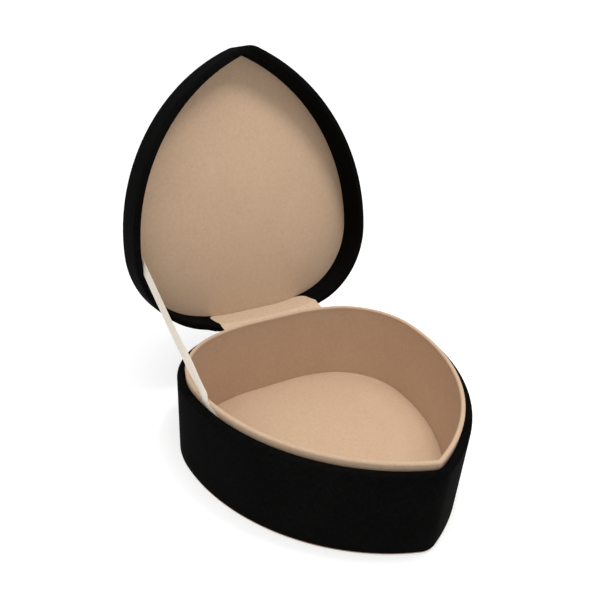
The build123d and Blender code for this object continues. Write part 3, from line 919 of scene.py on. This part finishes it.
@dataclass
class Movement(Assembly):
    """The wind-up movement inside the housing, and its key in the underside."""

    brass: tuple[str, ...] = (
        "bedplate", "pinned_cylinder", "great_wheel",
        "governor_wheel", "governor_bracket", "cylinder_bearings",
    )
    steel: tuple[str, ...] = (
        "comb", "comb_screws", "bedplate_screws", "winding_shaft",
        "cylinder_arbor", "mainspring", "air_brake", "comb_rest",
    )
    nickel: tuple[str, ...] = ("spring_barrel", "barrel_cap", "winding_key")

    def build(self) -> None:
        """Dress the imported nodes, whose shapes are right as they are."""
        self.dress_nodes({name: SATIN_BRASS for name in self.brass})
        self.dress_nodes({name: BRUSHED_STEEL for name in self.steel})
        self.dress_nodes({name: NICKEL_PLATE for name in self.nickel})
        self.dress_nodes({"movement_frame": PLANED_WOOD})


# ---- Lid ----

@dataclass
class Lid(Assembly):
    """Velvet lid with a softly padded top, its inner panel and the boards between."""

    rim_inner_r: float = 1.3
    rim_outer_r: float = 1.7
    top_r: float = 2.2
    rim_gap: float = 0.15
    crown: tuple[Point, ...] = ((5.0, 0.45), (9.0, 0.2), (14.0, 0.05), (20.0, 0.0), (24.0, 0.0))
    crown_drop: float = 0.8
    pad_depth: float = 1.39
    panel_edge: float = 0.45
    panel_crown: float = 0.08

    def build(self) -> None:
        """Make and dress the lid's pieces."""
        self.make_velvet()
        self.make_panel()
        self.make_padding()
        self.dress_nodes({
            "lid_wall_board": GREY_BOARD,
            "lid_top_board": GREY_BOARD,
            "lid_panel_card": PINK_CARD,
        })

    def crown_section(self, below: float) -> Section:
        """Outer top edge and crown, a distance inside the velvet's face."""
        top = LEVEL.lid_top
        centre = (self.top_r - LEVEL.pile, top - self.crown_drop - self.top_r)
        section = rounding(centre, self.top_r - below, 180, 95)
        return section + [(inset, top - drop - below) for inset, drop in self.crown]

    def make_velvet(self) -> None:
        """Velvet from the inner wall, round the rim, up the outside and over the top."""
        rim, wall = LEVEL.wall_top + self.rim_gap, LEVEL.lid_wall
        section = [(wall, LEVEL.panel + LEVEL.felt + LEVEL.card), (wall, rim + 12), (wall, rim + 4)]
        section += rounding((wall - self.rim_inner_r, rim + self.rim_inner_r), self.rim_inner_r, 0, -90, 4)
        outer = self.rim_outer_r
        section += rounding((outer - LEVEL.pile, rim + outer), outer, -90, -180, 5)
        section += [(-LEVEL.pile, rim + 6), (-LEVEL.pile, rim + 14)]
        section += self.crown_section(0.0)
        zone = (LEVEL.tongue_half, LEVEL.tongue_half + LEVEL.tongue_slope)
        piece = swept_sheet("velvet_lid", section, False, Side.OUT, zone)
        close_at(piece, LEVEL.lid_top)
        face_towards(piece, Side.UP)
        drop_rim(piece, 0.0, above=0, below=rim + self.rim_outer_r + 0.1)
        thicken(piece, LEVEL.velvet - 0.02)
        opened(piece)
        smooth(piece)
        self.put(piece, BLACK_VELVET, "lid", "black_velvet", "lid_velvet")

    def make_panel(self) -> None:
        """Flat felt panel inside the lid, with a soft edge and a sharp apex."""
        edge, face = LEVEL.lid_wall + 0.1, LEVEL.panel
        section = [(edge, face + LEVEL.felt - 0.02)]
        section += rounding((edge + self.panel_edge, face + self.panel_edge), self.panel_edge, 180, 270, 4)
        crowned = face - self.panel_crown
        section += [(edge + 5, face - self.panel_crown / 2), (edge + 12, crowned), (edge + 16, crowned)]
        piece = swept_sheet("felt_panel", section, True, Side.DOWN)
        close_at(piece, crowned)
        face_towards(piece, Side.DOWN)
        thicken(piece, LEVEL.felt - 0.1)
        opened(piece)
        smooth(piece, 35)
        self.put(piece, BEIGE_NAP, "lid", "beige_lining", "lid_panel_lining")

    def make_padding(self) -> None:
        """Thin wadding that gives the top its crown."""
        velvet = LEVEL.velvet
        low = LEVEL.lid_top - velvet - self.pad_depth
        section = [(self.top_r, low), (velvet + 0.6, low)] + self.crown_section(velvet)[1:]
        piece = swept_sheet("top_wadding", section, False, Side.UP)
        close_at(piece, LEVEL.lid_top - velvet)
        face_towards(piece, Side.UP)
        thicken(piece, 0.5)
        opened(piece)
        smooth(piece, 35)
        self.put(piece, FOAM, "lid", "top_padding", "lid_top_pad")


# ---- Soft links between the two ----

@dataclass
class HingeStrip(Assembly):
    """Cloth strip glued inside the lid's back wall and behind the collar, folding at the hinge."""

    lid_inset: float = 3.98
    base_inset: float = 4.43
    lid_far: float = 75.9
    lid_near: float = 54.5
    base_high: float = 57.0
    base_low: float = 43.0
    fold: float = 7.8
    bulge: float = 0.6
    bulge_run: float = 10.0
    lid_pull: float = 0.4
    base_pull: float = 0.14
    corner_r: float = 8.0
    thick: float = 0.24
    sag: float = 0.8
    columns: int = 48
    rows: int = 56

    @property
    def length(self) -> float:
        """Cut length of the strip."""
        return self.lid_far - self.lid_near + self.fold + self.base_high - self.base_low

    def place(self, across: float, along: float) -> Vector:
        """Where a point of the flat strip lies.

        Args:
            across: From -1 to 1 over its width.
            along: From 0 in the lid to 1 in the base.

        Returns:
            The place in metres.
        """
        run = along * self.length
        on_lid = self.lid_far - self.lid_near
        half = LEVEL.strip_half
        corner = self.corner_r * (1 + 0.2 * across)
        rounded = corner - sqrt(corner ** 2 - max(corner - run, 0.0) ** 2)
        x = LEVEL.strip_middle + across * (half - rounded)
        if run <= on_lid:
            return self.on_lid(x, self.lid_far - run)
        if run < on_lid + self.fold:
            return self.in_fold(x, (run - on_lid) / self.fold)
        return self.on_base(x, self.base_high - (run - on_lid - self.fold))

    def on_lid(self, x: float, height: float) -> Vector:
        """Place on the lid's inner wall, turned open; the height is that of the shut lid."""
        uneven = 1 - 0.15 * (x - LEVEL.strip_middle) / LEVEL.strip_half
        raised = self.bulge * uneven * ease((self.lid_near + self.bulge_run - height) / self.bulge_run)
        return lid_turn() @ (Vector((x, PLAN.back_wall(x, self.lid_inset + raised), height)) * MM)

    def on_base(self, x: float, height: float) -> Vector:
        """Place behind the collar."""
        return Vector((x, PLAN.back_wall(x, self.base_inset), height)) * MM

    def in_fold(self, x: float, share: float) -> Vector:
        """Place on the curve from the lid's rim down behind the collar."""
        start, end = self.on_lid(x, self.lid_near), self.on_base(x, self.base_high)
        leaving = (start - self.on_lid(x, self.lid_near + 1)).normalized()
        leaving = (leaving + Vector((0, 0, -self.sag))).normalized()
        reach = (start - end).length
        first = start + leaving * self.lid_pull * reach
        last = end + Vector((0, 0, self.base_pull * reach))
        rest = 1 - share
        near = start * rest ** 3 + first * 3 * rest ** 2 * share
        return near + last * 3 * rest * share ** 2 + end * share ** 3

    def build(self) -> None:
        """Make the strip and bend it over the hinge."""
        deselect_all()
        bpy.ops.mesh.primitive_grid_add(x_subdivisions=self.columns, y_subdivisions=self.rows, size=2)
        piece = bpy.context.object
        piece.name = piece.data.name = "hinge_strip"
        for vertex in piece.data.vertices:
            vertex.co = self.place(vertex.co.x, (1 - vertex.co.y) / 2)
        face_towards(piece, Side.UP)
        thicken(piece, self.thick, offset=0.0)
        smooth(piece, 60)
        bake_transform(piece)
        self.put(piece, HINGE_CLOTH, "", "hinge_cloth", "hinge_leaf_upper", "hinge_leaf_lower")


@dataclass
class RibbonStay(Assembly):
    """Ivory ribbon from the lid's left wall down to the base, tucked outside the lip."""

    width: float = 6.0
    thick: float = 0.22
    head: Point = (31.0, 63.5)
    head_inset: float = 4.05
    foot_y: float = 20.0
    foot_inset: float = 4.42
    keep: float = 0.14
    rows: int = 160
    columns: int = 12
    lean: float = 0.583
    twist: float = 0.5
    cup: float = 0.3
    fold: float = 1.3
    ripple: float = 0.16
    ripple_pace: float = 55.0
    tail: tuple[Point, ...] = ((4.5, 2.4), (9.0, 5.0), (13.5, 7.5))

    def route(self) -> list[Vector]:
        """Points that the ribbon's middle passes, in metres."""
        y, z = self.head
        slope = sqrt(1 - self.lean ** 2)
        points = []
        for run in (-5.0, 0.0, 5.0):
            at = y + run * self.lean
            shut = Vector((PLAN.left_wall(at, self.head_inset), at, z - run * slope))
            points.append(lid_turn() @ (shut * MM))
        lip = LEVEL.lip_top
        foot = Vector((PLAN.left_wall(self.foot_y, self.foot_inset), self.foot_y, lip + 1.0)) * MM
        for share in (0.25, 0.5, 0.75):
            points.append(points[2].lerp(foot, share))
        points.append(foot)
        for on, down in self.tail:
            at = self.foot_y - on
            points.append(Vector((PLAN.left_wall(at, self.foot_inset), at, lip - down)) * MM)
        return points

    def along(self, points: list[Vector], share: float) -> Vector:
        """Smooth curve through the route.

        Args:
            points: The route.
            share: From 0 at its head to 1 at its foot.

        Returns:
            The place there.
        """
        last = len(points) - 1
        step = min(int(share * last), last - 1)
        t = share * last - step
        before, start = points[max(step - 1, 0)], points[step]
        end, after = points[step + 1], points[min(step + 2, last)]
        return 0.5 * (
            2 * start
            + (end - before) * t
            + (2 * before - 5 * start + 4 * end - after) * t ** 2
            + (3 * start - before - 3 * end + after) * t ** 3
        )

    def crease(self, across: float, share: float) -> float:
        """How far a point stands inwards of the ribbon's plane, in millimetres."""
        near_foot = ease((share - 0.42) / 0.2) * ease((0.74 - share) / 0.08)
        cupped = self.cup * across ** 2 * ease(share / 0.15)
        folded = self.fold * near_foot * max(across, 0.0) ** 1.5
        rippled = self.ripple * near_foot * (1 + sin(share * self.ripple_pace + 2 * across))
        return cupped + folded + rippled

    def build(self) -> None:
        """Make the ribbon, and part it where it meets the lip into an upper piece and a tail."""
        points = self.route()
        deselect_all()
        bpy.ops.mesh.primitive_grid_add(x_subdivisions=self.columns, y_subdivisions=self.rows, size=2)
        piece = bpy.context.object
        piece.name = piece.data.name = "ribbon_stay_satin"
        for vertex in piece.data.vertices:
            vertex.co = self.place(points, vertex.co.x, (1 - vertex.co.y) / 2)
        thicken(piece, self.thick, offset=0.0)
        tail = piece.copy()
        tail.data = piece.data.copy()
        tail.name = tail.data.name = "ribbon_tail_satin"
        bpy.context.scene.collection.objects.link(tail)
        foot = points[-1 - len(self.tail)]
        run = (points[1] - foot).normalized()
        for part, drop_tail in ((piece, True), (tail, False)):
            with Editing(part):
                bpy.ops.mesh.select_all(action="SELECT")
                bpy.ops.mesh.bisect(
                    plane_co=foot,
                    plane_no=run,
                    use_fill=True,
                    clear_inner=drop_tail,
                    clear_outer=not drop_tail,
                )
            smooth(part, 60)
        self.put(piece, IVORY_SATIN, "base", "ivory_ribbon", "ribbon_stay")
        self.put(tail, IVORY_SATIN, "base", "ivory_ribbon", "ribbon_stay")
        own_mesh(piece)

    def place(self, points: list[Vector], across: float, share: float) -> Vector:
        """Where a point of the flat ribbon lies.

        Args:
            points: The route.
            across: From -1 to 1 over its width.
            share: From 0 at its head to 1 at its foot.

        Returns:
            The place in metres.
        """
        middle = self.along(points, share)
        step = 0.004
        ahead = self.along(points, min(share + step, 1)) - self.along(points, max(share - step, 0))
        ahead.normalize()
        free = ease(share / 0.3) * ease((0.68 - share) / 0.2)
        inwards = Vector((1, 0.1 + self.twist * free, 0))
        inwards = (inwards - ahead * inwards.dot(ahead)).normalized()
        widthways = ahead.cross(inwards)
        return middle + (widthways * across * self.width / 2 + inwards * self.crease(across, share)) * MM


# ---- Studio ----

@dataclass
class Studio:
    """Pale floor, soft lights and the camera."""

    azimuth: float = -0.593
    elevation: float = 0.513
    roll: float = 0.067
    distance: float = 0.4041
    target: tuple[float, float, float] = (-0.00057, 0.04845, 0.0670)
    lens: float = 37.33
    shift: Point = (0.0003, 0.052)
    floor_size: float = 60.0
    floor_glow: float = 0.35
    surroundings: float = 0.30
    key_place: tuple[float, float, float] = (0.07, -0.06, 0.5)
    key_aim: tuple[float, float, float] = (0.0, 0.04, 0.08)
    key_size: float = 0.11
    key_watts: float = 0.8
    key_tint: tuple[float, float, float] = (1.0, 0.985, 0.96)
    sky_way: tuple[float, float, float] = (-0.2, -0.05, 0.95)
    sky_width: float = radians(70)
    sky_strength: float = 1.9

    def build(self) -> None:
        """Set up floor, world, lights and camera."""
        self.make_floor()
        self.make_world()
        self.make_lights()
        self.make_camera()

    def make_floor(self) -> None:
        """Plain pale floor."""
        deselect_all()
        bpy.ops.mesh.primitive_plane_add(size=self.floor_size, location=(0, 0, 0))
        floor = bpy.context.object
        floor.name = "studio_floor"
        dress(floor, PALE_FLOOR)
        shader = floor.active_material.node_tree.nodes["Principled BSDF"]
        shader.inputs["Emission Color"].default_value = (1, 1, 1, 1)
        shader.inputs["Emission Strength"].default_value = self.floor_glow

    def make_world(self) -> None:
        """White surroundings that light the box less strongly than they look."""
        world = bpy.data.worlds.new("white_studio")
        world.use_nodes = True
        background = world.node_tree.nodes["Background"]
        background.inputs["Color"].default_value = (1, 1, 1, 1)
        seen = world.node_tree.nodes.new("ShaderNodeLightPath").outputs["Is Camera Ray"]
        tree = world.node_tree
        strength = math_node(tree, "MULTIPLY_ADD", seen, 1 - self.surroundings, self.surroundings)
        tree.links.new(strength, background.inputs["Strength"])
        bpy.context.scene.world = world
        bpy.context.scene.view_settings.view_transform = "Standard"

    def make_lights(self) -> None:
        """Small key light above the box, which isn't seen itself, and a broad light from far away."""
        data = bpy.data.lights.new("key_light", "AREA")
        data.size, data.energy, data.color = self.key_size, self.key_watts, self.key_tint
        key = bpy.data.objects.new("key_light", data)
        key.location = self.key_place
        aim = Vector(self.key_place) - Vector(self.key_aim)
        key.rotation_euler = aim.to_track_quat("Z", "Y").to_euler()
        key.visible_camera = False
        data = bpy.data.lights.new("overhead_fill", "SUN")
        data.angle, data.energy = self.sky_width, self.sky_strength
        fill = bpy.data.objects.new("overhead_fill", data)
        fill.rotation_euler = Vector(self.sky_way).to_track_quat("Z", "Y").to_euler()
        for light in (key, fill):
            bpy.context.scene.collection.objects.link(light)

    def make_camera(self) -> None:
        """Camera that looks down into the open box from the front left."""
        back = Vector((
            sin(self.azimuth) * cos(self.elevation),
            -cos(self.azimuth) * cos(self.elevation),
            sin(self.elevation),
        ))
        right = Vector((cos(self.azimuth), sin(self.azimuth), 0))
        upwards = back.cross(right)
        rolled_right = right * cos(self.roll) + upwards * sin(self.roll)
        rolled_up = upwards * cos(self.roll) - right * sin(self.roll)
        data = bpy.data.cameras.new("studio_camera")
        data.lens, data.sensor_width = self.lens, 36.0
        data.shift_x, data.shift_y = self.shift
        data.clip_start = 0.01
        camera = bpy.data.objects.new("studio_camera", data)
        turn = Matrix((rolled_right, rolled_up, back)).transposed().to_4x4()
        camera.matrix_world = Matrix.Translation(Vector(self.target) + back * self.distance) @ turn
        bpy.context.scene.collection.objects.link(camera)
        bpy.context.scene.camera = camera


def main() -> None:
    """Build the studio and every sub-assembly in order."""
    logging.basicConfig(level=logging.INFO, format="%(name)s: %(message)s")
    Studio().build()
    for assembly in (BaseCase(), MovementHousing(), Movement(), Lid(), HingeStrip(), RibbonStay()):
        assembly.build()
        log.info("%s done", type(assembly).__name__)


if __name__ == "__main__":
    main()
